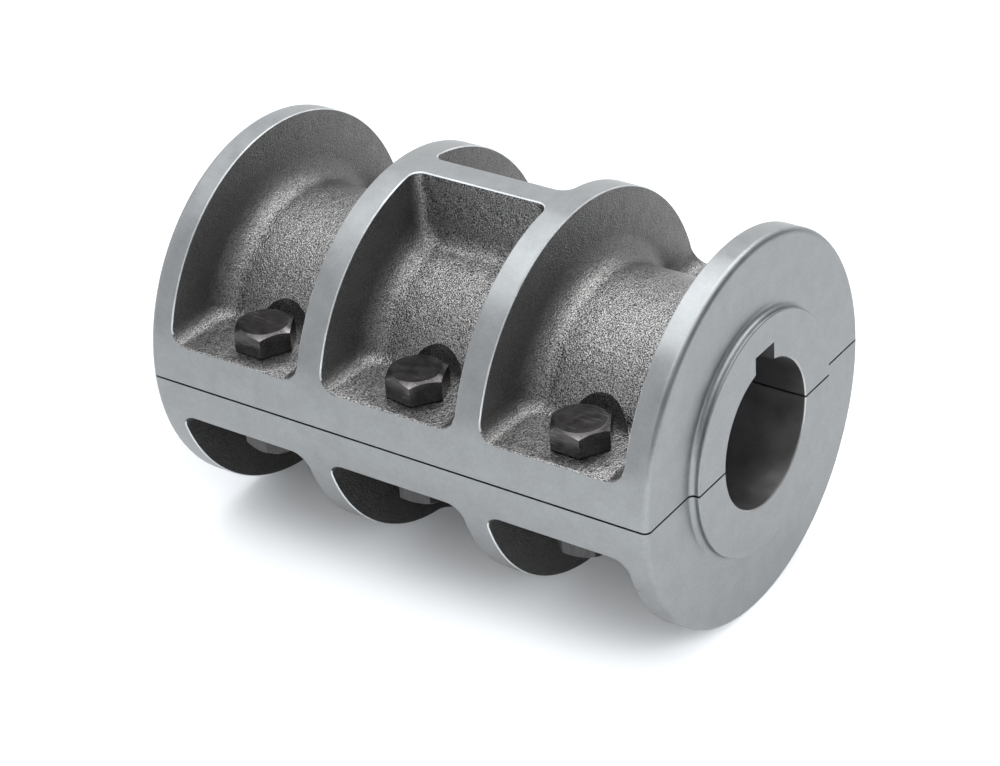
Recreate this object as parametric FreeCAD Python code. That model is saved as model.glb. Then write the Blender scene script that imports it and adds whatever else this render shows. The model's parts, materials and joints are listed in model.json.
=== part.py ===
import FreeCAD, Part
import math
import os
from FreeCAD import Vector

# Ribbed rigid coupling for a keyed shaft. Lengths are in millimetres.
# The bore lies along X, the split plane is Z = 0, and the keyway is at the top, in the upper half.
# Front is -Y. The origin is on the bore axis, half way along the coupling.

# Turned outside
outer_diameter = 146.0
disc_width = 10.2
rib_width = 10.6
bay_width = 58.2
outer_edge_round = 2.5

# Hub boss that stands proud of each end face
boss_diameter = 90.8
boss_height = 3.4
boss_foot_round = 2.0
boss_edge_round = 0.6

# Bore and keyway, for a 2 3/16 inch shaft and a 1/2 inch key
bore_diameter = 55.56
bore_edge_break = 0.4
keyway_width = 12.7
keyway_roof = 34.1

# Gap between the two halves, before the bolts pull them onto a shaft
split_gap = 0.8

# Cast pockets between the discs and ribs
hub_diameter = 93.4
cheek_thickness = 15.6
web_width = 11.2
wall_draft_deg = 2.0
web_draft_deg = 2.0
root_round = 10.0
corner_round = 6.5
web_corner_round = 4.5
rim_edge_break = 0.4

# Bolts and nuts, 9/16 inch, three in front and three behind
bolt_diameter = 14.29
across_flats = 20.64
head_height = 9.1
nut_height = 10.5
washer_face = 0.4
hex_flat_diameter = 18.6
hex_chamfer_deg = 30.0
washer_face_diameter = 19.6
thread_stands_out = 2.75
thread_end_chamfer = 1.3
thread_clearance = 0.1
nut_lead_in = 0.8
hole_clearance = 0.4
bolt_inset = 18.4
bolt_along_bay = 2.4
spot_face_diameter = 31.8

# How far each head and each nut ended up turned when it was tightened, left to right
front_head_turns = (-60.0, -68.0, -61.0)
rear_head_turns = (14.0, 37.0, -9.0)
front_nut_turns = (-72.0, -50.5, -45.0)
rear_nut_turns = (25.0, 4.0, -18.0)

# Values worked out from the sizes above
outer_radius = outer_diameter / 2
hub_radius = hub_diameter / 2
bore_radius = bore_diameter / 2
boss_radius = boss_diameter / 2
bay_count = 3
bay_pitch = bay_width + rib_width
disc_face = (bay_count * bay_width + (bay_count - 1) * rib_width) / 2 + disc_width
boss_face = disc_face + boss_height
bay_centres = [(i - (bay_count - 1) / 2) * bay_pitch for i in range(bay_count)]
seat_height = cheek_thickness
half_gap = split_gap / 2
bolt_row_offset = outer_radius - bolt_inset
beyond = outer_radius + 10.0

X_AXIS = Vector(1, 0, 0)
Z_AXIS = Vector(0, 0, 1)
ORIGIN = Vector(0, 0, 0)


def arc(start, middle, end):
    return Part.Arc(Vector(*start), Vector(*middle), Vector(*end)).toShape()


def line(start, end):
    return Part.LineSegment(Vector(*start), Vector(*end)).toShape()


def end_profile(side):
    """Edges of one end of the turned outline, drawn below the axis, so that its seam is at the bottom."""
    def at(x, from_axis):
        return (side * x, 0, -from_axis)

    s = math.sqrt(0.5)
    edge, foot, outer = boss_edge_round, boss_foot_round, outer_edge_round
    bore_corner = at(boss_face, bore_radius + bore_edge_break)
    edge_start = at(boss_face, boss_radius - edge)
    edge_middle = at(boss_face - edge * (1 - s), boss_radius - edge * (1 - s))
    edge_end = at(boss_face - edge, boss_radius)
    foot_start = at(disc_face + foot, boss_radius)
    foot_middle = at(disc_face + foot * (1 - s), boss_radius + foot * (1 - s))
    foot_end = at(disc_face, boss_radius + foot)
    round_start = at(disc_face, outer_radius - outer)
    round_middle = at(disc_face - outer * (1 - s), outer_radius - outer * (1 - s))
    round_end = at(disc_face - outer, outer_radius)
    return [
        line(at(boss_face - bore_edge_break, bore_radius), bore_corner),
        line(bore_corner, edge_start),
        arc(edge_start, edge_middle, edge_end),
        line(edge_end, foot_start),
        arc(foot_start, foot_middle, foot_end),
        line(foot_end, round_start),
        arc(round_start, round_middle, round_end),
    ]


def turned_body():
    """The whole bored and turned blank, before the pockets and the split."""
    flat_end = disc_face - outer_edge_round
    bore_end = boss_face - bore_edge_break
    edges = end_profile(1) + end_profile(-1)
    edges.append(line((-flat_end, 0, -outer_radius), (flat_end, 0, -outer_radius)))
    edges.append(line((-bore_end, 0, -bore_radius), (bore_end, 0, -bore_radius)))
    outline = Part.Wire(Part.__sortEdges__(edges))
    return Part.Face(outline).revolve(ORIGIN, X_AXIS, 360)


def bay_ring(centre):
    """The full ring of space between two walls, wider outwards by the draft of the walls."""
    depth = outer_radius - hub_radius
    flare = math.tan(math.radians(wall_draft_deg))
    at_hub = bay_width / 2 - depth * flare
    at_outside = bay_width / 2 + (beyond - outer_radius) * flare
    corners = [
        Vector(centre - at_hub, 0, hub_radius),
        Vector(centre + at_hub, 0, hub_radius),
        Vector(centre + at_outside, 0, beyond),
        Vector(centre - at_outside, 0, beyond),
    ]
    outline = Part.makePolygon(corners + corners[:1])
    return Part.Face(outline).revolve(ORIGIN, X_AXIS, 360)


def window(centre, corners):
    """A prism along X through one bay, from the (y, z) corners of its cross-section."""
    points = [Vector(centre - bay_width, y, z) for y, z in corners]
    outline = Part.makePolygon(points + points[:1])
    return Part.Face(outline).extrude(Vector(2 * bay_width, 0, 0))


def round_size(edge):
    """The fillet of one inner edge of a pocket, or None where the pocket opens outwards."""
    middle = edge.valueAt((edge.FirstParameter + edge.LastParameter) / 2)
    tangent = edge.tangentAt((edge.FirstParameter + edge.LastParameter) / 2)
    from_axis = math.hypot(middle.y, middle.z)
    runs_along = abs(tangent.x) > 0.9
    if from_axis > (outer_radius + beyond) / 2:
        return None
    if abs(from_axis - hub_radius) < 0.01:
        return corner_round if runs_along else root_round
    if middle.z > cheek_thickness + corner_round:
        return web_corner_round
    return corner_round


def rounded(pocket):
    """The pocket with all its inner edges filleted in one operation, each to its own radius."""
    sizes = []
    for number, edge in enumerate(pocket.Edges, 1):
        size = round_size(edge)
        if size is not None:
            sizes.append((number, size, size))
    document = FreeCAD.newDocument()
    sharp = document.addObject("Part::Feature", "sharp")
    sharp.Shape = pocket
    smooth = document.addObject("Part::Fillet", "smooth")
    smooth.Base = sharp
    smooth.Edges = sizes
    document.recompute()
    shape = smooth.Shape.copy()
    FreeCAD.closeDocument(document.Name)
    return shape


def end_pocket(centre):
    """An end bay of the upper half: open over the top, from the front cheek to the rear cheek."""
    corners = [(-beyond, cheek_thickness), (beyond, cheek_thickness), (beyond, beyond), (-beyond, beyond)]
    return rounded(bay_ring(centre).common(window(centre, corners)))


def web_pocket(centre, side):
    """The middle bay of the upper half, in front of the web (side -1) or behind it (side 1)."""
    lean = math.tan(math.radians(web_draft_deg))
    half_web = web_width / 2
    top = side * (half_web - (beyond - outer_radius) * lean)
    foot = side * (half_web + (outer_radius - cheek_thickness) * lean)
    corners = [(top, beyond), (foot, cheek_thickness), (side * beyond, cheek_thickness), (side * beyond, beyond)]
    return rounded(bay_ring(centre).common(window(centre, corners)))


def upper_pockets():
    """Each pocket with the middle of its bay and its side of the web: -1 in front, 1 behind, 0 for both."""
    pockets = []
    for number, centre in enumerate(bay_centres):
        if number == bay_count // 2:
            pockets += [(web_pocket(centre, -1), centre, -1), (web_pocket(centre, 1), centre, 1)]
        else:
            pockets.append((end_pocket(centre), centre, 0))
    return pockets


def bolt_places():
    """The bolt axes as (x, y), front row first, each row left to right."""
    return [(centre + bolt_along_bay, side * bolt_row_offset) for side in (-1, 1) for centre in bay_centres]


def is_outline(edge, centre, side):
    """True where the pocket of this bay, on this side of the web, opens on the turned surface."""
    span = edge.LastParameter - edge.FirstParameter
    points = [edge.valueAt(edge.FirstParameter + span * share) for share in (0.0, 0.5, 1.0)]
    on_outside = all(abs(math.hypot(p.y, p.z) - outer_radius) < 0.01 for p in points)
    in_bay = all(abs(p.x - centre) < (bay_width + rib_width) / 2 for p in points)
    off_split = max(p.z for p in points) > half_gap + 0.1
    return on_outside and in_bay and off_split and all(side * p.y >= 0 for p in points)


def upper_casting():
    """Half of the coupling without a keyway: blank, less bore, pockets, holes and spot faces."""
    block = Part.makeBox(4 * boss_face, 4 * beyond, 2 * beyond, Vector(-2 * boss_face, -2 * beyond, half_gap))
    casting = turned_body().common(block)
    for pocket, centre, side in upper_pockets():
        casting = casting.cut(pocket).Solids[0]
        outline = [edge for edge in casting.Edges if is_outline(edge, centre, side)]
        casting = casting.makeChamfer(rim_edge_break, outline)
    hole_radius = bolt_diameter / 2 + hole_clearance
    for x, y in bolt_places():
        hole = Part.makeCylinder(hole_radius, beyond, Vector(x, y, 0), Z_AXIS)
        spot = Part.makeCylinder(spot_face_diameter / 2, beyond, Vector(x, y, seat_height), Z_AXIS)
        casting = casting.cut(hole).cut(spot)
    return casting


def keyway():
    length = 2 * boss_face + 2
    return Part.makeBox(length, keyway_width, keyway_roof, Vector(-length / 2, -keyway_width / 2, 0))


def hex_body(height, turn, chamfers):
    """A hexagon from Z = 0 up, with cones taking off its corners at the ends named in chamfers."""
    corner = across_flats / math.sqrt(3)
    points = []
    for i in range(6):
        angle = math.radians(turn + 60 * i)
        points.append(Vector(corner * math.cos(angle), corner * math.sin(angle), 0))
    body = Part.Face(Part.makePolygon(points + points[:1])).extrude(Vector(0, 0, height))
    flat = hex_flat_diameter / 2
    clear = corner + 1.0
    drop = (clear - flat) * math.tan(math.radians(hex_chamfer_deg))
    section = [Vector(0, 0, 0), Vector(clear, 0, 0), Vector(clear, 0, height), Vector(0, 0, height)]
    if "top" in chamfers:
        section[2:3] = [Vector(clear, 0, height - drop), Vector(flat, 0, height)]
    if "bottom" in chamfers:
        section[1:2] = [Vector(flat, 0, 0), Vector(clear, 0, drop)]
    cone = Part.Face(Part.makePolygon(section + section[:1])).revolve(ORIGIN, Z_AXIS, 360)
    return body.common(cone)


def bolt(turn):
    """A hex bolt with its head above Z = 0 and its shank going down."""
    length = 2 * seat_height + nut_height + thread_stands_out
    head = hex_body(head_height - washer_face, turn, ("top",))
    head.translate(Vector(0, 0, washer_face))
    face = Part.makeCylinder(washer_face_diameter / 2, washer_face, ORIGIN, Z_AXIS)
    radius = bolt_diameter / 2
    shank = Part.makeCylinder(radius, length - thread_end_chamfer, ORIGIN, -Z_AXIS)
    tip_start = Vector(0, 0, -(length - thread_end_chamfer))
    tip = Part.makeCone(radius, radius - thread_end_chamfer, thread_end_chamfer, tip_start, -Z_AXIS)
    return head.fuse(face).fuse(shank).fuse(tip).removeSplitter()


def nut(turn):
    """A hex nut that hangs down from its seat at Z = 0."""
    radius = bolt_diameter / 2 + thread_clearance
    body = hex_body(nut_height, turn, ("top", "bottom"))
    body = body.cut(Part.makeCylinder(radius, nut_height, ORIGIN, Z_AXIS))
    for z, way in ((0, Z_AXIS), (nut_height, -Z_AXIS)):
        body = body.cut(Part.makeCone(radius + nut_lead_in, radius, nut_lead_in, Vector(0, 0, z), way))
    body.translate(Vector(0, 0, -nut_height))
    return body


def placed(shape, x, y, z, upside_down):
    """Moves a fastener to its place. The rear row is put in from below, heads down, for balance."""
    moved = shape.copy()
    if upside_down:
        moved.rotate(ORIGIN, X_AXIS, 180)
    moved.translate(Vector(x, y, -z if upside_down else z))
    return moved


def build():
    nodes = {}
    casting = upper_casting()
    nodes["upper_half"] = casting.cut(keyway())
    lower = casting.mirror(ORIGIN, Z_AXIS)
    nodes["lower_half"] = lower
    rows = (
        ("front", -1, front_head_turns, front_nut_turns, False),
        ("rear", 1, rear_head_turns, rear_nut_turns, True),
    )
    for row, side, head_turns, nut_turns, upside_down in rows:
        for i, centre in enumerate(bay_centres):
            x = centre + bolt_along_bay
            y = side * bolt_row_offset
            nodes[f"{row}_bolt_{i + 1}"] = placed(bolt(head_turns[i]), x, y, seat_height, upside_down)
            nodes[f"{row}_nut_{i + 1}"] = placed(nut(nut_turns[i]), x, y, -seat_height, upside_down)
    return nodes


os.makedirs("parts", exist_ok=True)
for name, shape in build().items():
    print(name, shape.ShapeType, len(shape.Solids), shape.isValid(), round(shape.Volume, 1))
    shape.exportStep(os.path.join("parts", name + ".step"))
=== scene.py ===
import json
import math

import bmesh
import bpy
from bpy.props import FloatProperty, FloatVectorProperty, IntProperty, PointerProperty
from mathutils import Euler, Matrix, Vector


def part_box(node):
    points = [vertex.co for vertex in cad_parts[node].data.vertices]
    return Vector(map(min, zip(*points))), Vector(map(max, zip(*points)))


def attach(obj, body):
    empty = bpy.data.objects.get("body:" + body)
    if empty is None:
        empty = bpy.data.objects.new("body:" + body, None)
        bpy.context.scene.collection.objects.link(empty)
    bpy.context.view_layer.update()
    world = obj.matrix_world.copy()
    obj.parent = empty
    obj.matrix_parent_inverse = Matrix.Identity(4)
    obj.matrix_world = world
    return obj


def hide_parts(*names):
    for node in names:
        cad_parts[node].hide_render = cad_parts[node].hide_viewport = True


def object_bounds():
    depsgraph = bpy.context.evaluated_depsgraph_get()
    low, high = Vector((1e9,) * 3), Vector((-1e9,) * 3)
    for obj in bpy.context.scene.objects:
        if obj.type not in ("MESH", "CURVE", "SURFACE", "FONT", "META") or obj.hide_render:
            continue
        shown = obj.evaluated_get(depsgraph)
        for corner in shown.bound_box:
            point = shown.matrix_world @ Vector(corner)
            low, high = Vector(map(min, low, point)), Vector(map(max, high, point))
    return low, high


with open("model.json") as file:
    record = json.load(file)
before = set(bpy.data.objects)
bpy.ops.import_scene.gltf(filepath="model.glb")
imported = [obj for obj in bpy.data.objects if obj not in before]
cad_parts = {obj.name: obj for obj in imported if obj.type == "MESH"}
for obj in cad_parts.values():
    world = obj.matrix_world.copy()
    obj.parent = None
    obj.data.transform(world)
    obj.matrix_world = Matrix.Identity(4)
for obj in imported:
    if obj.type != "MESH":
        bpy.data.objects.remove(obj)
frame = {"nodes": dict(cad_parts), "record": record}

# Looks of a ribbed shaft coupling: two iron castings, six hex bolts and six nuts.
# Lengths are in metres. The bore lies along X, the split plane is Z = 0, and the front is -Y.

bl_info = {
    "name": "Ribbed Shaft Coupling",
    "version": (1, 0, 0),
    "blender": (4, 5, 0),
    "location": "3D View > Sidebar > Coupling",
    "description": "Dresses a ribbed shaft coupling and its bolts, and sets them on a pale studio floor",
    "category": "Object",
}

CAD_LOW, CAD_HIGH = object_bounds()
CASTING_LOW, CASTING_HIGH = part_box("upper_half")
BORE_RADIUS = frame["record"]["mounts"][0]["dims"]["r_mm"] / 1000
BODY = "root"
CASTINGS = ("upper_half", "lower_half")
ROWS = ("front", "rear")
BOLTS_PER_ROW = 3
FASTENERS = [(row, number) for row in ROWS for number in range(1, BOLTS_PER_ROW + 1)]

# Numbers from 0 to 1 at each point of a casting: whether it is on the upper half, which keeps the lighter
# colour while the lower half gets painted shade, and how gritty it is, which sets how strong the painted
# glints in its grain are
UPPER = "upper"
GRIT_AND_GLINT = "grit_and_glint"

# How strong the painted highlight is towards the corners of a bolt head's chamfer, from 0 to 1
CORNER_HIGHLIGHT = "corner_highlight"

# Finishes of a casting, in the order of its material slots
CAST_SKIN, TURNED_OUTSIDE, FACED_END, BORED, PARTED, BROKEN_EDGE_HIGHLIGHT, SPOT_FACE = range(7)

# A point that is nearer to a surface than this lies on it
SLACK = 0.00003

# The same for the seat of a bolt or nut, and for two points that are one
SEAT_SLACK = 1e-6
MERGE_SLACK = 1e-7

HEX_CHAMFER_DEG = 30.0
SENSOR_WIDTH = 36.0


def axis_of(node):
    """Where the axis of an upright piece stands in plan."""
    low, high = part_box(node)
    return (low.x + high.x) / 2, (low.y + high.y) / 2


BOLT_AXES = [axis_of(f"{row}_bolt_{number}") for row, number in FASTENERS]


class COUPLING_PG_casting(bpy.types.PropertyGroup):
    outer_radius: FloatProperty(
        name="Outer radius", description="Radius of the turned discs and ribs",
        default=CASTING_HIGH.z, unit="LENGTH", precision=5)
    boss_face: FloatProperty(
        name="Boss face", description="Distance of each hub boss face from the middle",
        default=CASTING_HIGH.x, unit="LENGTH", precision=5)
    boss_height: FloatProperty(
        name="Boss height", description="How far the hub boss stands proud of the end face",
        default=0.0034, unit="LENGTH", precision=5)
    boss_radius: FloatProperty(
        name="Boss radius", description="Radius of the hub boss",
        default=0.0454, unit="LENGTH", precision=5)
    boss_foot_round: FloatProperty(
        name="Boss foot round", description="Fillet where the boss meets the end face",
        default=0.002, unit="LENGTH", precision=5)
    boss_edge_round: FloatProperty(
        name="Boss edge round", description="Rounding of the boss rim",
        default=0.0006, unit="LENGTH", precision=5)
    outer_edge_round: FloatProperty(
        name="Outer edge round", description="Rounding of the outer rim of each end face",
        default=0.0025, unit="LENGTH", precision=5)
    edge_break: FloatProperty(
        name="Edge break", description="Chamfer of the pocket mouths and of the ends of the bore",
        default=0.0004, unit="LENGTH", precision=5)
    # Painted highlight: from this height above the cheeks upwards, the broken edges are coloured brighter
    # than the turned iron.
    edge_highlight_fade: FloatProperty(
        name="Edge fade", description="Height above the cheeks at which the bright broken edges end",
        default=0.003, unit="LENGTH", precision=5)
    bore_radius: FloatProperty(
        name="Bore radius", description="Radius of the shaft bore",
        default=BORE_RADIUS, unit="LENGTH", precision=5)
    hub_radius: FloatProperty(
        name="Hub radius", description="Radius of the cast hub between the ribs",
        default=0.0467, unit="LENGTH", precision=5)
    cheek_height: FloatProperty(
        name="Cheek height", description="Height of the cheeks above the split plane",
        default=0.0156, unit="LENGTH", precision=5)
    spot_face_radius: FloatProperty(
        name="Spot face radius", description="Radius of the flat seat cut for each bolt and nut",
        default=0.0159, unit="LENGTH", precision=5)
    keyway_half_width: FloatProperty(
        name="Keyway half width", description="Half the width of the keyway",
        default=0.00635, unit="LENGTH", precision=5)
    keyway_roof: FloatProperty(
        name="Keyway roof", description="Height of the keyway roof above the bore axis",
        default=0.0341, unit="LENGTH", precision=5)
    crease_deg: FloatProperty(
        name="Crease", description="Edges that turn by more degrees than this are drawn sharp",
        default=35.0, min=5.0, max=90.0)


class COUPLING_PG_bolts(bpy.types.PropertyGroup):
    thread_pitch: FloatProperty(
        name="Thread pitch", description="Distance between two turns, 12 to the inch",
        default=0.0254 / 12, unit="LENGTH", precision=6)
    thread_depth: FloatProperty(
        name="Thread depth", description="Depth of the thread from crest to root",
        default=0.00115, unit="LENGTH", precision=5)
    thread_length: FloatProperty(
        name="Thread length", description="Length of the threaded end of the shank",
        default=0.020, unit="LENGTH", precision=4)
    bolt_radius: FloatProperty(
        name="Bolt radius", description="Radius of the shank and of the thread crests",
        default=0.007145, unit="LENGTH", precision=6)
    head_flat: FloatProperty(
        name="Head flat", description="Distance from the bolt axis to a flat of its head",
        default=0.01032, unit="LENGTH", precision=5)
    head_corner: FloatProperty(
        name="Head corner", description="Distance from the bolt axis to a corner of its head",
        default=0.0119, unit="LENGTH", precision=5)
    tip_chamfer: FloatProperty(
        name="Tip chamfer", description="Chamfer at the threaded end",
        default=0.0013, unit="LENGTH", precision=5)
    steps_around: IntProperty(
        name="Steps around", description="Facets around the shank", default=72, min=12, max=256)
    steps_per_turn: IntProperty(
        name="Steps per turn", description="Rings along one turn of the thread",
        default=10, min=4, max=32)
    head_edge: FloatProperty(
        name="Head edge", description="Rounding of the edges of each head",
        default=0.0002, unit="LENGTH", precision=5)
    nut_edge: FloatProperty(
        name="Nut edge", description="Rounding of the edges of each nut",
        default=0.00025, unit="LENGTH", precision=5)
    crease_deg: FloatProperty(
        name="Crease", description="Edges that turn by more degrees than this are drawn sharp",
        default=35.0, min=5.0, max=90.0)


class COUPLING_PG_finish(bpy.types.PropertyGroup):
    turned_colour: FloatVectorProperty(
        name="Turned iron", description="Colour of the turned and faced surfaces",
        subtype="COLOR", size=3, default=(0.302, 0.318, 0.329), min=0, max=1)
    cast_colour: FloatVectorProperty(
        name="Cast skin above", description="Middle colour of the upper half's as-cast surfaces",
        subtype="COLOR", size=3, default=(0.21, 0.21, 0.21), min=0, max=1)
    # Painted shade: the lower half's cast skin is coloured about half as light as the upper half's, for
    # the shade under the part.
    under_shade_colour: FloatVectorProperty(
        name="Cast skin below", description="Middle colour of the lower half's as-cast surfaces",
        subtype="COLOR", size=3, default=(0.11, 0.11, 0.11), min=0, max=1)
    bore_colour: FloatVectorProperty(
        name="Bore", description="Colour of the bored surface",
        subtype="COLOR", size=3, default=(0.5, 0.5, 0.51), min=0, max=1)
    spot_colour: FloatVectorProperty(
        name="Spot face", description="Middle colour of the walls that the seat cutter leaves",
        subtype="COLOR", size=3, default=(0.235, 0.23, 0.23), min=0, max=1)
    bolt_colour: FloatVectorProperty(
        name="Black bolt", description="Colour of the blackened bolts",
        subtype="COLOR", size=3, default=(0.066, 0.063, 0.064), min=0, max=1)
    nut_colour: FloatVectorProperty(
        name="Plain nut", description="Colour of the bare steel nuts",
        subtype="COLOR", size=3, default=(0.08, 0.08, 0.082), min=0, max=1)
    grain_size: FloatProperty(
        name="Grain", description="Size of the sand grain on the cast skin",
        default=0.00048, unit="LENGTH", precision=6)
    tool_mark: FloatProperty(
        name="Tool mark", description="Distance between two turning marks",
        default=0.00028, unit="LENGTH", precision=6)


class COUPLING_PG_stage(bpy.types.PropertyGroup):
    floor_size: FloatProperty(
        name="Floor", description="Side of the square floor", default=12.0, unit="LENGTH")
    floor_colour: FloatVectorProperty(
        name="Floor colour", description="Colour of the floor",
        subtype="COLOR", size=3, default=(0.75, 0.755, 0.76), min=0, max=1)
    camera_place: FloatVectorProperty(
        name="Camera", description="Place of the camera",
        subtype="TRANSLATION", size=3, default=(0.530901, -0.711168, 0.529982))
    camera_turn_deg: FloatVectorProperty(
        name="Camera turn", description="Turn of the camera about X, Y and Z, in degrees",
        size=3, default=(58.5307, 3.8396, 34.5294))
    lens: FloatProperty(
        name="Lens", description="Focal length in millimetres, on a sensor 36 mm wide",
        default=100.845)
    box_height: FloatProperty(
        name="Light height", description="Height of the soft boxes above the bore axis",
        default=3.0, unit="LENGTH")
    box_size: FloatProperty(
        name="Soft box", description="Side of the large square soft box",
        default=3.7, unit="LENGTH")
    box_place: FloatVectorProperty(
        name="Soft box place", description="Middle of the large soft box in plan",
        size=2, default=(-0.08, 0.4))
    box_power: FloatProperty(
        name="Soft box power", description="Power of the large soft box, in watts", default=75.0)
    strip_size: FloatVectorProperty(
        name="Strip size", description="Width and length of the strip box, which only metal shows",
        size=2, default=(1.1, 4.4))
    strip_place: FloatVectorProperty(
        name="Strip place", description="Middle of the strip box in plan",
        size=2, default=(0.25, 0.9))
    strip_power: FloatProperty(
        name="Strip power", description="Power of the strip box, in watts", default=90.0)
    strip_colour: FloatVectorProperty(
        name="Strip colour", description="Colour of the strip box, a little warm",
        subtype="COLOR", size=3, default=(1.0, 0.98, 0.955), min=0, max=1)
    side_fill_place: FloatVectorProperty(
        name="Side fill place", description="Place of the side fill, which only dull surfaces show",
        subtype="TRANSLATION", size=3, default=(1.5, -0.77, 1.41))
    side_fill_power: FloatProperty(
        name="Side fill power", description="Power of the side fill, in watts", default=28.0)
    low_fill_place: FloatVectorProperty(
        name="Low fill place", description="Place of the low front fill, which only dull surfaces show",
        subtype="TRANSLATION", size=3, default=(0.55, -0.54, 0.13))
    low_fill_power: FloatProperty(
        name="Low fill power", description="Power of the low front fill, in watts", default=3.8)
    back_level: FloatProperty(
        name="Back of room", description="How bright the room's back left looks in metal", default=1.15)
    front_level: FloatProperty(
        name="Front of room", description="How bright the room's front left looks in metal", default=0.9)
    right_level: FloatProperty(
        name="Right of room", description="How bright the room's right side looks in metal", default=0.3)
    room_light: FloatProperty(
        name="Room light", description="Strength of the room's even light on dull surfaces",
        default=0.66)


class COUPLING_PG_all(bpy.types.PropertyGroup):
    casting: PointerProperty(type=COUPLING_PG_casting)
    bolts: PointerProperty(type=COUPLING_PG_bolts)
    finish: PointerProperty(type=COUPLING_PG_finish)
    stage: PointerProperty(type=COUPLING_PG_stage)


def settings():
    """The sizes, colours and lights that the panel lists."""
    return bpy.context.scene.coupling


class Shader:
    """A material under construction: most calls add nodes and return the output with the result."""

    def __init__(self, name):
        self.material = bpy.data.materials.new(name)
        self.material.use_nodes = True
        self.tree = self.material.node_tree
        self.tree.nodes.clear()
        self.place = self.add("ShaderNodeTexCoord").outputs["Object"]

    def add(self, kind, **fields):
        """A new node with these fields set."""
        node = self.tree.nodes.new(kind)
        for field, value in fields.items():
            setattr(node, field, value)
        return node

    def feed(self, socket, value):
        """Links an output to an input, or sets the input to a constant."""
        if isinstance(value, bpy.types.NodeSocket):
            self.tree.links.new(value, socket)
        elif value is not None:
            socket.default_value = value

    def noise(self, size, detail=2.0, roughness=0.5, place=None):
        """Smooth noise with features of about this size in metres."""
        node = self.add("ShaderNodeTexNoise")
        self.feed(node.inputs["Vector"], place or self.place)
        self.feed(node.inputs["Scale"], 1.0 / size)
        self.feed(node.inputs["Detail"], detail)
        self.feed(node.inputs["Roughness"], roughness)
        return node.outputs["Fac"]

    def grains(self, size):
        """Distance to the nearest of a scatter of points about this far apart."""
        node = self.add("ShaderNodeTexVoronoi")
        self.feed(node.inputs["Vector"], self.place)
        self.feed(node.inputs["Scale"], 1.0 / size)
        return node.outputs["Distance"]

    def attribute(self, name):
        """A number that the mesh carries at each of its points."""
        return self.add("ShaderNodeAttribute", attribute_name=name).outputs["Fac"]

    def maths(self, operation, first, second=None):
        """The result of one operation on one or two values."""
        node = self.add("ShaderNodeMath", operation=operation)
        self.feed(node.inputs[0], first)
        self.feed(node.inputs[1], second)
        return node.outputs[0]

    def weighted(self, *pairs):
        """The sum of some values, each times its weight."""
        parts = [self.maths("MULTIPLY", value, weight) for value, weight in pairs]
        total = parts[0]
        for part in parts[1:]:
            total = self.maths("ADD", total, part)
        return total

    def spread(self, value, low, high, to_low=0.0, to_high=1.0):
        """Maps low..high of a value onto to_low..to_high, and holds it there."""
        node = self.add("ShaderNodeMapRange")
        for number, part in enumerate((value, low, high, to_low, to_high)):
            self.feed(node.inputs[number], part)
        return node.outputs[0]

    def tint(self, share, first, second):
        """A colour between two others, of which each is fixed or an output."""
        node = self.add("ShaderNodeMix", data_type="RGBA")
        self.feed(node.inputs[0], share)
        for number, colour in ((6, first), (7, second)):
            is_output = isinstance(colour, bpy.types.NodeSocket)
            self.feed(node.inputs[number], colour if is_output else (*colour, 1.0))
        return node.outputs[2]

    def axes(self):
        """The place along X, Y and Z."""
        node = self.add("ShaderNodeSeparateXYZ")
        self.feed(node.inputs[0], self.place)
        return node.outputs

    def from_axis(self):
        """Distance from the bore axis."""
        _, y, z = self.axes()
        squares = self.maths("ADD", self.maths("MULTIPLY", y, y), self.maths("MULTIPLY", z, z))
        return self.maths("SQRT", squares)

    def stretched(self, x, y, z):
        """The place with each axis scaled, which draws a pattern out along the smallest."""
        node = self.add("ShaderNodeMapping")
        self.feed(node.inputs["Vector"], self.place)
        self.feed(node.inputs["Scale"], (x, y, z))
        return node.outputs[0]

    def bump(self, height, distance, strength=1.0, under=None):
        """A normal tilted by a height, over another bump where one is given."""
        node = self.add("ShaderNodeBump")
        self.feed(node.inputs["Height"], height)
        self.feed(node.inputs["Distance"], distance)
        self.feed(node.inputs["Strength"], strength)
        self.feed(node.inputs["Normal"], under)
        return node.outputs[0]

    def finish(self, colour, metallic, roughness, normal=None, specular=None):
        """Ends the material in one surface shader."""
        surface = self.add("ShaderNodeBsdfPrincipled")
        self.feed(surface.inputs["Base Color"], colour)
        self.feed(surface.inputs["Metallic"], metallic)
        self.feed(surface.inputs["Roughness"], roughness)
        self.feed(surface.inputs["Normal"], normal)
        self.feed(surface.inputs["Specular IOR Level"], specular)
        out = self.add("ShaderNodeOutputMaterial")
        self.tree.links.new(surface.outputs[0], out.inputs["Surface"])
        return self.material


def shade(colour, factor):
    """A colour made darker or lighter, and never brighter than white."""
    return tuple(min(1.0, part * factor) for part in colour)


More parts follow.
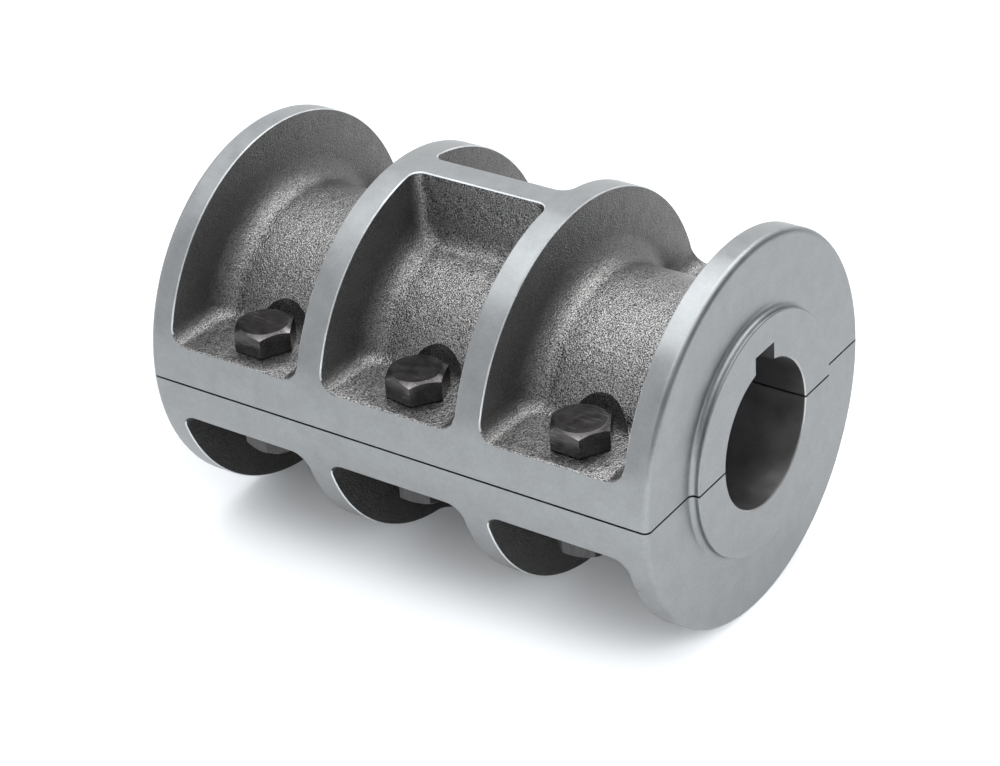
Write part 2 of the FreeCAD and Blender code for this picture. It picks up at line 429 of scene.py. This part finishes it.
def cast_skin():
    """Sand-cast iron: coarse grain on an uneven skin, with painted glints in the grain that are weaker on
    the shaded walls, and painted shade darkening the lower half.
    """
    finish = settings().finish
    darkest, lightest = 0.2, 1.8
    shader = Shader("cast_skin")
    grain = shader.noise(finish.grain_size, detail=1.0, roughness=0.6)
    pits = shader.grains(finish.grain_size * 1.6)
    patches = shader.noise(0.006, detail=3.0)
    grit_and_glint_share = shader.attribute(GRIT_AND_GLINT)
    # Painted glints: the grain's light and dark specks spread wide where the skin is gritty, and only
    # about a third as wide on the shaded walls that face along X.
    contrast = shader.spread(grit_and_glint_share, 0.0, 1.0, 0.35, 1.0)
    centred = shader.maths("SUBTRACT", shader.spread(grain, 0.36, 0.64), 0.5)
    speck = shader.maths("ADD", shader.maths("MULTIPLY", centred, contrast), 0.5)
    # Painted shade: the lower half takes a colour about half as light as the upper half's.
    shaded_below = shader.tint(speck, shade(finish.under_shade_colour, darkest), shade(finish.under_shade_colour, lightest))
    above = shader.tint(speck, shade(finish.cast_colour, darkest), shade(finish.cast_colour, lightest))
    colour = shader.tint(shader.attribute(UPPER), shaded_below, above)
    height = shader.maths("ADD", grain, shader.maths("MULTIPLY", pits, 0.5))
    uneven = shader.bump(patches, 0.0012, 0.35)
    normal = shader.bump(height, 0.0002, 1.0, uneven)
    dullness = shader.spread(grit_and_glint_share, 0.0, 1.0, 0.46, 0.28)
    roughness = shader.maths("ADD", dullness, shader.spread(patches, 0.3, 0.7, 0.0, 0.06))
    return shader.finish(colour, 1.0, roughness, normal, 0.5)


def machined(name, colour, across, roughness_low, roughness_high):
    """Cut iron: fine tool marks that follow one another along X or outwards, and faint clouding."""
    finish = settings().finish
    shader = Shader(name)
    distance = shader.from_axis() if across == "radius" else shader.axes()[0]
    line = shader.add("ShaderNodeTexNoise", noise_dimensions="1D")
    shader.feed(line.inputs["W"], distance)
    shader.feed(line.inputs["Scale"], 1.0 / finish.tool_mark)
    shader.feed(line.inputs["Detail"], 2.0)
    clouds = shader.noise(0.009, detail=4.0, roughness=0.6)
    mottle = shader.noise(0.0012, detail=3.0, roughness=0.6)
    tone = shader.weighted((clouds, 0.5), (mottle, 0.3), (line.outputs["Fac"], 0.2))
    share = shader.spread(tone, 0.38, 0.62)
    cut = shader.tint(share, shade(colour, 0.9), shade(colour, 1.09))
    normal = shader.bump(line.outputs["Fac"], 0.00002, 0.5)
    roughness = shader.spread(clouds, 0.3, 0.7, roughness_low, roughness_high)
    return shader.finish(cut, 1.0, roughness, normal)


def spot_face():
    """The torn wall that the seat cutter leaves in a cast fillet: dark iron with open grains."""
    finish = settings().finish
    shader = Shader("spot_face")
    grain = shader.noise(finish.grain_size, detail=1.0, roughness=0.6)
    patches = shader.noise(0.004, detail=2.0)
    speck = shader.spread(grain, 0.36, 0.64)
    colour = shader.tint(speck, shade(finish.spot_colour, 0.35), shade(finish.spot_colour, 1.65))
    roughness = shader.spread(patches, 0.3, 0.7, 0.38, 0.48)
    normal = shader.bump(grain, 0.0001, 1.0)
    return shader.finish(colour, 1.0, roughness, normal)


def black_steel():
    """Blackened bolt steel, slightly brown, with bare scratches and a painted highlight at the chamfer
    corners.
    """
    finish = settings().finish
    shader = Shader("black_steel")
    clouds = shader.noise(0.004, detail=3.0)
    rubbed = shader.noise(0.0006, detail=2.0, place=shader.stretched(0.12, 1.0, 1.0))
    share = shader.spread(shader.maths("ADD", clouds, shader.maths("MULTIPLY", rubbed, 0.5)), 0.6, 0.95)
    black = shader.tint(share, shade(finish.bolt_colour, 0.8), shade(finish.bolt_colour, 1.35))
    lines = shader.noise(0.0005, detail=1.0, place=shader.stretched(0.06, 1.0, 1.0))
    scratch = shader.spread(lines, 0.66, 0.72, 0.0, 0.8)
    bare = shader.tint(scratch, shade(finish.bolt_colour, 3.0), shade(finish.bolt_colour, 3.2))
    scratched = shader.tint(scratch, black, bare)
    # Painted highlight: towards the chamfer corners the blacking is coloured two to three and a half times
    # as light.
    highlight_colour = shader.tint(share, shade(finish.bolt_colour, 2.0), shade(finish.bolt_colour, 3.6))
    colour = shader.tint(shader.attribute(CORNER_HIGHLIGHT), scratched, highlight_colour)
    roughness = shader.spread(clouds, 0.3, 0.7, 0.18, 0.27)
    normal = shader.bump(rubbed, 0.00003, 0.4)
    return shader.finish(colour, 0.9, roughness, normal, 0.5)


def plain_steel():
    """Bare nut steel with light handling marks."""
    finish = settings().finish
    shader = Shader("plain_steel")
    clouds = shader.noise(0.003, detail=4.0)
    marks = shader.noise(0.0005, detail=2.0, place=shader.stretched(1.0, 1.0, 0.15))
    share = shader.spread(shader.maths("ADD", clouds, marks), 0.75, 1.25)
    colour = shader.tint(share, shade(finish.nut_colour, 0.8), shade(finish.nut_colour, 1.15))
    roughness = shader.spread(clouds, 0.3, 0.7, 0.34, 0.5)
    normal = shader.bump(marks, 0.00003, 0.4)
    return shader.finish(colour, 1.0, roughness, normal)


def merged_copy(node, name):
    """A copy of a CAD node's mesh with its loose triangles joined up."""
    mesh = frame["nodes"][node].data.copy()
    mesh.name = name
    shape = bmesh.new()
    shape.from_mesh(mesh)
    bmesh.ops.remove_doubles(shape, verts=shape.verts, dist=MERGE_SLACK)
    shape.to_mesh(mesh)
    shape.free()
    mesh.materials.clear()
    piece = bpy.data.objects.new(name, mesh)
    bpy.context.scene.collection.objects.link(piece)
    return piece


def own(piece, node):
    """Says what a finished piece rides on, and hides the CAD node that it stands for."""
    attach(piece, BODY)
    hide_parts(node)


def as_plain_mesh(piece):
    """Bakes the modifiers of a piece into its mesh."""
    graph = bpy.context.evaluated_depsgraph_get()
    mesh = bpy.data.meshes.new_from_object(piece.evaluated_get(graph))
    mesh.name = piece.name
    piece.modifiers.clear()
    piece.data = mesh


def radial(point):
    """The direction straight out from the bore axis at a point."""
    return Vector((0.0, point.y, point.z)).normalized()


def casting_finish(points, normal):
    """Which finish a casting has on a triangle with these corners and this normal."""
    size = settings().casting
    out = [math.hypot(point.y, point.z) for point in points]
    heights = [abs(point.z) for point in points]
    in_keyway = all(
        abs(point.y) < size.keyway_half_width + SLACK and 0 < point.z < size.keyway_roof + SLACK
        for point in points)
    if max(out) < size.bore_radius + size.edge_break + SLACK or in_keyway:
        return BORED
    if max(heights) < abs(CASTING_LOW.z) + SLACK:
        return PARTED
    disc_face = size.boss_face - size.boss_height
    if min(abs(point.x) for point in points) > disc_face - size.outer_edge_round - SLACK:
        return FACED_END
    if min(out) > size.outer_radius - SLACK:
        return TURNED_OUTSIDE
    if min(out) > size.outer_radius - size.edge_break - SLACK:
        # Above the cheeks the broken edge carries a painted highlight; nearer the cheeks it keeps the cast
        # skin.
        return BROKEN_EDGE_HIGHLIGHT if min(heights) > size.cheek_height + size.edge_highlight_fade else CAST_SKIN
    deepest_cut, most_lean = 0.006, 0.01
    if min(out) > size.hub_radius - deepest_cut and abs(normal.z) < most_lean and on_spot_circle(points):
        return SPOT_FACE
    return CAST_SKIN


def on_spot_circle(points):
    """True for a wall left by the cutter that faced the seat of a bolt or nut."""
    radius = settings().casting.spot_face_radius
    reach = 0.0001
    for x, y in BOLT_AXES:
        if all(abs(math.hypot(point.x - x, point.y - y) - radius) < reach for point in points):
            return True
    return False


def end_normal(point):
    """The exact normal of the turned end at a point: flat, or on one of its three rounds."""
    size = settings().casting
    along, out = abs(point.x), math.hypot(point.y, point.z)
    disc_face = size.boss_face - size.boss_height
    nearly, reach = 0.00002, 0.0001
    rounds = (
        (disc_face, size.outer_radius, size.outer_edge_round, 1),
        (disc_face, size.boss_radius, size.boss_foot_round, -1),
        (size.boss_face, size.boss_radius, size.boss_edge_round, 1),
    )
    for edge_along, edge_out, radius, way in rounds:
        away = Vector(((along - edge_along) * way + radius, (out - edge_out) * way + radius))
        if min(away) > -nearly and abs(away.length - radius) < reach:
            away.normalize()
            return Vector((math.copysign(away.x, point.x), 0, 0)) + radial(point) * away.y
    if abs(out - size.boss_radius) < nearly and along < size.boss_face - reach:
        return radial(point)
    return Vector((math.copysign(1.0, point.x), 0, 0))


def mark_skin(shape):
    """Gives each point of a casting the two numbers that its cast skin reads.

    The walls of the discs and ribs, which face along X and stand in shade, get weaker painted glints in
    their grain and a rougher finish than the rest.
    """
    grit_and_glint_rise = 1.3
    upper = shape.verts.layers.float.new(UPPER)
    grit_and_glint = shape.verts.layers.float.new(GRIT_AND_GLINT)
    for vert in shape.verts:
        facing = sum((face.normal * face.calc_area() for face in vert.link_faces), Vector()).normalized()
        vert[upper] = 1.0 if vert.co.z > 0 else 0.0
        vert[grit_and_glint] = min(1.0, max(0.0, grit_and_glint_rise - grit_and_glint_rise * abs(facing.x)))


def sort_finishes(shape):
    """Gives each face of a casting its finish, and keeps the edges between two finishes sharp."""
    crease = math.radians(settings().casting.crease_deg)
    for face in shape.faces:
        face.smooth = True
        face.material_index = casting_finish([vert.co for vert in face.verts], face.normal)
    for edge in shape.edges:
        finishes = {face.material_index for face in edge.link_faces}
        edge.smooth = edge.calc_face_angle(0.0) < crease and len(finishes) == 1


def exact_normals(mesh):
    """Sets exact normals where a casting is turned, faced, bored or cut flat."""
    square_on = 0.95
    normals = [corner.vector.copy() for corner in mesh.corner_normals]
    for face in mesh.polygons:
        for corner in face.loop_indices:
            point = mesh.vertices[mesh.loops[corner].vertex_index].co
            if face.material_index == FACED_END:
                normals[corner] = end_normal(point)
            elif face.material_index == TURNED_OUTSIDE and face.normal.dot(radial(point)) > square_on:
                normals[corner] = radial(point)
            elif face.material_index == BORED and face.normal.dot(radial(point)) < -square_on:
                normals[corner] = -radial(point)
            elif face.material_index != CAST_SKIN:
                normals[corner] = face.normal.copy()
    mesh.normals_split_custom_set(normals)


def dress_casting(node, materials):
    """Gives a casting its finishes and its normals."""
    piece = merged_copy(node, node.replace("half", "casting"))
    for material in materials:
        piece.data.materials.append(material)
    shape = bmesh.new()
    shape.from_mesh(piece.data)
    mark_skin(shape)
    sort_finishes(shape)
    shape.to_mesh(piece.data)
    shape.free()
    exact_normals(piece.data)
    own(piece, node)


class COUPLING_OT_castings(bpy.types.Operator):
    """Dresses the two castings: turned outside, faced ends, bored hole and cast pockets"""
    bl_idname = "coupling.castings"
    bl_label = "Castings"

    def execute(self, context):
        finish = settings().finish
        materials = (
            cast_skin(),
            machined("turned_outside", finish.turned_colour, "x", 0.27, 0.33),
            machined("faced_end", finish.turned_colour, "radius", 0.38, 0.44),
            machined("bored", finish.bore_colour, "x", 0.3, 0.4),
            machined("parted", shade(finish.turned_colour, 0.6), "x", 0.45, 0.55),
            # Painted highlight: the broken edges are coloured two and a half times as light as the turned
            # iron.
            machined("broken_edge_highlight", shade(finish.turned_colour, 2.5), "x", 0.42, 0.48),
            spot_face(),
        )
        for node in CASTINGS:
            dress_casting(node, materials)
        return {"FINISHED"}


def thread_tree(material):
    """A tree that adds a threaded shank to a bolt head.

    The shank is a grid bent round its axis. Its radius dips by a triangle wave along the threaded
    length, one turn for each pitch, and never leaves the cone of the tip.
    """
    tree = bpy.data.node_groups.new("threaded_shank", "GeometryNodeTree")
    interface = tree.interface
    interface.new_socket("Geometry", in_out="INPUT", socket_type="NodeSocketGeometry")
    for kind, names in (
        ("Float", ("Length", "Radius", "Thread length", "Pitch", "Depth", "Tip chamfer")),
        ("Int", ("Steps around", "Steps along")),
        ("Vector", ("Seat", "Turn")),
    ):
        for name in names:
            interface.new_socket(name, in_out="INPUT", socket_type=f"NodeSocket{kind}")
    interface.new_socket("Geometry", in_out="OUTPUT", socket_type="NodeSocketGeometry")
    nodes, links = tree.nodes, tree.links
    given = nodes.new("NodeGroupInput").outputs

    def node(kind, inputs=(), **fields):
        made = nodes.new(kind)
        for field, value in fields.items():
            setattr(made, field, value)
        for number, value in inputs:
            if isinstance(value, bpy.types.NodeSocket):
                links.new(value, made.inputs[number])
            else:
                made.inputs[number].default_value = value
        return made

    def maths(operation, first, second=0.0):
        return node("ShaderNodeMath", ((0, first), (1, second)), operation=operation).outputs[0]

    shank = node("GeometryNodeMeshCylinder", (
        ("Vertices", given["Steps around"]), ("Side Segments", given["Steps along"]),
        ("Radius", given["Radius"]), ("Depth", given["Length"])))
    place = node("ShaderNodeSeparateXYZ", ((0, node("GeometryNodeInputPosition").outputs[0]),)).outputs
    depth_here = maths("SUBTRACT", maths("MULTIPLY", given["Length"], 0.5), place["Z"])
    turns = maths("DIVIDE", depth_here, given["Pitch"])
    angle = maths("DIVIDE", maths("ARCTAN2", place["Y"], place["X"]), math.tau)
    wave = maths("PINGPONG", maths("ADD", turns, angle), 0.5)
    dip = maths("MULTIPLY", maths("MULTIPLY", wave, 2.0), given["Depth"])
    to_end = maths("SUBTRACT", given["Length"], depth_here)
    threaded = maths("LESS_THAN", to_end, given["Thread length"])
    radius = maths("SUBTRACT", given["Radius"], maths("MULTIPLY", dip, threaded))
    tip = maths("ADD", maths("SUBTRACT", given["Radius"], given["Tip chamfer"]), to_end)
    radius = maths("MINIMUM", radius, tip)
    share = maths("DIVIDE", radius, given["Radius"])
    moved = node("ShaderNodeCombineXYZ", (
        (0, maths("MULTIPLY", place["X"], share)),
        (1, maths("MULTIPLY", place["Y"], share)),
        (2, place["Z"])))
    shaped = node("GeometryNodeSetPosition", (
        ("Geometry", shank.outputs["Mesh"]), ("Position", moved.outputs[0])))
    down = node("ShaderNodeCombineXYZ", ((2, maths("MULTIPLY", given["Length"], -0.5)),))
    hung = node("GeometryNodeTransform", (
        ("Geometry", shaped.outputs[0]), ("Translation", down.outputs[0])))
    seated = node("GeometryNodeTransform", (
        ("Geometry", hung.outputs[0]), ("Translation", given["Seat"]), ("Rotation", given["Turn"])))
    smooth = node("GeometryNodeSetShadeSmooth", (("Geometry", seated.outputs[0]),))
    joined = node("GeometryNodeJoinGeometry")
    links.new(smooth.outputs[0], joined.inputs[0])
    links.new(given["Geometry"], joined.inputs[0])
    real = node("GeometryNodeRealizeInstances", ((0, joined.outputs[0]),))
    coloured = node("GeometryNodeSetMaterial", (("Geometry", real.outputs[0]), ("Material", material)))
    links.new(coloured.outputs[0], nodes.new("NodeGroupOutput").inputs[0])
    return tree


def add_tree(piece, tree, values):
    """Puts a tree on a piece and sets its inputs by name."""
    modifier = piece.modifiers.new(tree.name, "NODES")
    modifier.node_group = tree
    for item in tree.interface.items_tree:
        if item.in_out == "INPUT" and item.name in values:
            modifier[item.identifier] = values[item.name]


def rounded_edges(piece, width):
    """Rounds the edges of a piece that turn sharply."""
    bevel = piece.modifiers.new("edges", "BEVEL")
    bevel.width = width
    bevel.segments = 2
    bevel.limit_method = "ANGLE"
    bevel.angle_limit = math.radians(20)


def crisp_normals(piece, seat=None, way=1):
    """Leans each normal to the larger faces beside it, so flats stay flat up to their rounded edges.

    Where a seat is given, this is done only on its upper side, or its lower side where way is -1.
    """
    crease = math.radians(settings().bolts.crease_deg)
    mesh = piece.data
    mesh.set_sharp_from_angle(angle=crease)
    around = [[] for _ in mesh.vertices]
    for face in mesh.polygons:
        for vert in face.vertices:
            around[vert].append((face.normal.copy(), face.area))
    normals = [corner.vector.copy() for corner in mesh.corner_normals]
    least = math.cos(crease)
    for face in mesh.polygons:
        if seat is not None and (face.center.z - seat) * way < -SEAT_SLACK:
            continue
        for corner, vert in zip(face.loop_indices, face.vertices):
            near = [normal * area for normal, area in around[vert] if normal.dot(face.normal) > least]
            normals[corner] = sum(near, Vector()).normalized()
    mesh.normals_split_custom_set(normals)


def highlight_corners(piece, axis, seat):
    """Marks a painted highlight on the head's top and chamfer that grows towards the six corners of the
    chamfer.
    """
    size = settings().bolts
    mesh = piece.data
    corner_highlight = mesh.attributes.new(CORNER_HIGHLIGHT, "FLOAT", "CORNER")
    corner_width = size.head_corner - size.head_flat
    chamfer_depth = corner_width * math.tan(math.radians(HEX_CHAMFER_DEG))
    top = max(abs(vert.co.z - seat) for vert in mesh.vertices)
    steepest = 0.6
    for face in mesh.polygons:
        if abs(face.normal.z) < steepest or abs(face.center.z - seat) < top - 2 * chamfer_depth:
            continue
        for corner, vert in zip(face.loop_indices, face.vertices):
            place = mesh.vertices[vert].co
            out = math.hypot(place.x - axis[0], place.y - axis[1])
            corner_highlight.data[corner].value = min(1.0, max(0.0, (out - size.head_flat) / corner_width))


def cut_off(piece, height, keep_above):
    """Cuts a piece at a height, drops one side and closes the cut."""
    shape = bmesh.new()
    shape.from_mesh(piece.data)
    geometry = shape.verts[:] + shape.edges[:] + shape.faces[:]
    bmesh.ops.bisect_plane(
        shape, geom=geometry, dist=MERGE_SLACK, plane_co=(0, 0, height), plane_no=(0, 0, 1),
        clear_inner=keep_above, clear_outer=not keep_above)
    bmesh.ops.holes_fill(shape, edges=[edge for edge in shape.edges if edge.is_boundary], sides=0)
    bmesh.ops.dissolve_limit(
        shape, angle_limit=math.radians(1), verts=shape.verts[:], edges=shape.edges[:])
    for face in shape.faces:
        face.smooth = True
    shape.to_mesh(piece.data)
    shape.free()


def join_at_seat(piece, seat):
    """Makes head and shank one skin: a ring takes the place of the two faces that meet at the seat."""
    shape = bmesh.new()
    shape.from_mesh(piece.data)
    meeting = [
        face for face in shape.faces if all(abs(vert.co.z - seat) < SEAT_SLACK for vert in face.verts)]
    bmesh.ops.delete(shape, geom=meeting, context="FACES")
    bmesh.ops.bridge_loops(shape, edges=[edge for edge in shape.edges if edge.is_boundary])
    bmesh.ops.recalc_face_normals(shape, faces=shape.faces[:])
    for face in shape.faces:
        face.material_index = 0
    shape.to_mesh(piece.data)
    while len(piece.data.materials) > 1:
        piece.data.materials.pop()
    shape.free()


def make_bolt(row, number, material, tree):
    """Makes one bolt from the head of its CAD piece and a threaded shank.

    Its head lies on one half as its nut does on the other, so the nut gives the seat of the head.
    """
    size = settings().bolts
    node = f"{row}_bolt_{number}"
    heads_up = row == "front"
    axis = axis_of(node)
    low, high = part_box(node)
    nut_low, nut_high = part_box(f"{row}_nut_{number}")
    seat = -nut_high.z if heads_up else -nut_low.z
    length = seat - low.z if heads_up else high.z - seat
    piece = merged_copy(node, f"{row}_hex_bolt_{number}")
    piece.data.materials.append(material)
    cut_off(piece, seat, heads_up)
    rounded_edges(piece, size.head_edge)
    as_plain_mesh(piece)
    highlight_corners(piece, axis, seat)
    add_tree(piece, tree, {
        "Length": length,
        "Radius": size.bolt_radius,
        "Thread length": size.thread_length,
        "Pitch": size.thread_pitch,
        "Depth": size.thread_depth,
        "Tip chamfer": size.tip_chamfer,
        "Steps around": size.steps_around,
        "Steps along": round(length / size.thread_pitch * size.steps_per_turn),
        "Seat": (*axis, seat),
        "Turn": (0.0 if heads_up else math.pi, 0.0, 0.0),
    })
    as_plain_mesh(piece)
    join_at_seat(piece, seat)
    crisp_normals(piece, seat, 1 if heads_up else -1)
    own(piece, node)


class COUPLING_OT_bolts(bpy.types.Operator):
    """Makes the six blackened bolts, with rounded heads and threaded ends"""
    bl_idname = "coupling.bolts"
    bl_label = "Bolts"

    def execute(self, context):
        material = black_steel()
        tree = thread_tree(material)
        for row, number in FASTENERS:
            make_bolt(row, number, material, tree)
        return {"FINISHED"}


class COUPLING_OT_nuts(bpy.types.Operator):
    """Makes the six plain nuts, with lightly rounded edges"""
    bl_idname = "coupling.nuts"
    bl_label = "Nuts"

    def execute(self, context):
        material = plain_steel()
        for row, number in FASTENERS:
            node = f"{row}_nut_{number}"
            piece = merged_copy(node, f"{row}_hex_nut_{number}")
            piece.data.materials.append(material)
            for face in piece.data.polygons:
                face.use_smooth = True
            rounded_edges(piece, settings().bolts.nut_edge)
            as_plain_mesh(piece)
            crisp_normals(piece)
            own(piece, node)
        return {"FINISHED"}


def floor_material(colour):
    """A dull pale floor, which the camera sees as white paper."""
    paper_white = (0.94, 0.97, 1.0)
    shader = Shader("studio_floor")
    seen = shader.add("ShaderNodeLightPath").outputs["Is Camera Ray"]
    shown = shader.tint(seen, colour, paper_white)
    return shader.finish(shown, 0.0, 0.9, None, 0.0)


def soft_box(name, place, size, power, target=None):
    """A rectangular light that faces straight down, or its target where it has one."""
    lamp = bpy.data.lights.new(name, "AREA")
    lamp.shape = "RECTANGLE"
    lamp.size, lamp.size_y = size
    lamp.energy = power
    light = bpy.data.objects.new(name, lamp)
    light.location = place
    if target is not None:
        light.rotation_euler = (Vector(place) - Vector(target)).to_track_quat("Z", "Y").to_euler()
    bpy.context.scene.collection.objects.link(light)
    return light


def studio_world(stage):
    """White to the camera, bright left and darker right in metal, and even on dull surfaces."""
    world = bpy.data.worlds.new("studio")
    world.use_nodes = True
    tree = world.node_tree
    tree.nodes.clear()

    def blend(share, low, high, start=0.0, end=1.0):
        """A level that goes from low to high as a share goes from start to end."""
        node = tree.nodes.new("ShaderNodeMapRange")
        tree.links.new(share, node.inputs["Value"])
        for socket, value in (("From Min", start), ("From Max", end), ("To Min", low), ("To Max", high)):
            if isinstance(value, bpy.types.NodeSocket):
                tree.links.new(value, node.inputs[socket])
            else:
                node.inputs[socket].default_value = value
        return node

    path = tree.nodes.new("ShaderNodeLightPath").outputs
    direction = tree.nodes.new("ShaderNodeSeparateXYZ")
    tree.links.new(tree.nodes.new("ShaderNodeTexCoord").outputs["Generated"], direction.inputs[0])
    left = blend(direction.outputs["Y"], stage.front_level, stage.back_level, -0.6, 0.7)
    room = blend(direction.outputs["X"], left.outputs[0], stage.right_level, -0.1, 0.45)
    room.interpolation_type = "SMOOTHSTEP"
    in_metal = blend(path["Is Glossy Ray"], stage.room_light, room.outputs[0])
    shown = blend(path["Is Camera Ray"], in_metal.outputs[0], 1.0)
    background = tree.nodes.new("ShaderNodeBackground")
    background.inputs["Color"].default_value = (1, 1, 1, 1)
    tree.links.new(shown.outputs[0], background.inputs["Strength"])
    out = tree.nodes.new("ShaderNodeOutputWorld")
    tree.links.new(background.outputs[0], out.inputs["Surface"])
    bpy.context.scene.world = world


def make_floor(stage):
    """Makes the square floor, at the height of the part's lowest point."""
    mesh = bpy.data.meshes.new("floor")
    half = stage.floor_size / 2
    corners = [(x * half, y * half, CAD_LOW.z) for x, y in ((-1, -1), (1, -1), (1, 1), (-1, 1))]
    mesh.from_pydata(corners, [], [(0, 1, 2, 3)])
    mesh.materials.append(floor_material(stage.floor_colour))
    floor = bpy.data.objects.new("floor", mesh)
    bpy.context.scene.collection.objects.link(floor)


def make_lights(stage):
    """Makes two soft boxes overhead and two fills: only metal shows the strip box, and never the fills."""
    height = stage.box_height
    square, side_size, low_size = (stage.box_size, stage.box_size), (1.0, 1.0), (0.4, 0.3)
    soft_box("large_soft_box", (*stage.box_place, height), square, stage.box_power)
    strip = soft_box("strip_box", (*stage.strip_place, height), stage.strip_size, stage.strip_power)
    strip.visible_diffuse = False
    strip.data.color = stage.strip_colour
    side = soft_box("side_fill", stage.side_fill_place, side_size, stage.side_fill_power, (0, 0, 0))
    floor_middle = (0, 0, CAD_LOW.z)
    low = soft_box("low_fill", stage.low_fill_place, low_size, stage.low_fill_power, floor_middle)
    for fill in (side, low):
        fill.visible_glossy = False
        fill.visible_camera = False


def make_camera(stage):
    """Makes the camera and takes the scene through it."""
    data = bpy.data.cameras.new("camera")
    data.sensor_fit = "HORIZONTAL"
    data.sensor_width = SENSOR_WIDTH
    data.lens = stage.lens
    camera = bpy.data.objects.new("camera", data)
    camera.location = stage.camera_place
    camera.rotation_euler = Euler([math.radians(turn) for turn in stage.camera_turn_deg])
    bpy.context.scene.collection.objects.link(camera)
    bpy.context.scene.camera = camera


class COUPLING_OT_stage(bpy.types.Operator):
    """Makes the pale floor, the soft lights and the camera"""
    bl_idname = "coupling.stage"
    bl_label = "Stage"

    def execute(self, context):
        stage = settings().stage
        make_floor(stage)
        make_lights(stage)
        studio_world(stage)
        make_camera(stage)
        context.scene.view_settings.view_transform = "Standard"
        return {"FINISHED"}


OPERATORS = (COUPLING_OT_castings, COUPLING_OT_bolts, COUPLING_OT_nuts, COUPLING_OT_stage)


class COUPLING_PT_sidebar(bpy.types.Panel):
    """Lists the steps and the sizes of the coupling"""
    bl_label = "Ribbed Shaft Coupling"
    bl_idname = "COUPLING_PT_sidebar"
    bl_space_type = "VIEW_3D"
    bl_region_type = "UI"
    bl_category = "Coupling"

    def draw(self, context):
        layout = self.layout
        for operator in OPERATORS:
            layout.operator(operator.bl_idname)
        for group in (settings().casting, settings().bolts, settings().finish, settings().stage):
            box = layout.box()
            for name in group.__annotations__:
                box.prop(group, name)


CLASSES = (
    COUPLING_PG_casting, COUPLING_PG_bolts, COUPLING_PG_finish, COUPLING_PG_stage, COUPLING_PG_all,
    *OPERATORS, COUPLING_PT_sidebar,
)


def register():
    for item in CLASSES:
        bpy.utils.register_class(item)
    bpy.types.Scene.coupling = PointerProperty(type=COUPLING_PG_all)


def unregister():
    del bpy.types.Scene.coupling
    for item in reversed(CLASSES):
        bpy.utils.unregister_class(item)


def main():
    register()
    bpy.ops.coupling.castings()
    bpy.ops.coupling.bolts()
    bpy.ops.coupling.nuts()
    bpy.ops.coupling.stage()


if __name__ == "__main__":
    main()
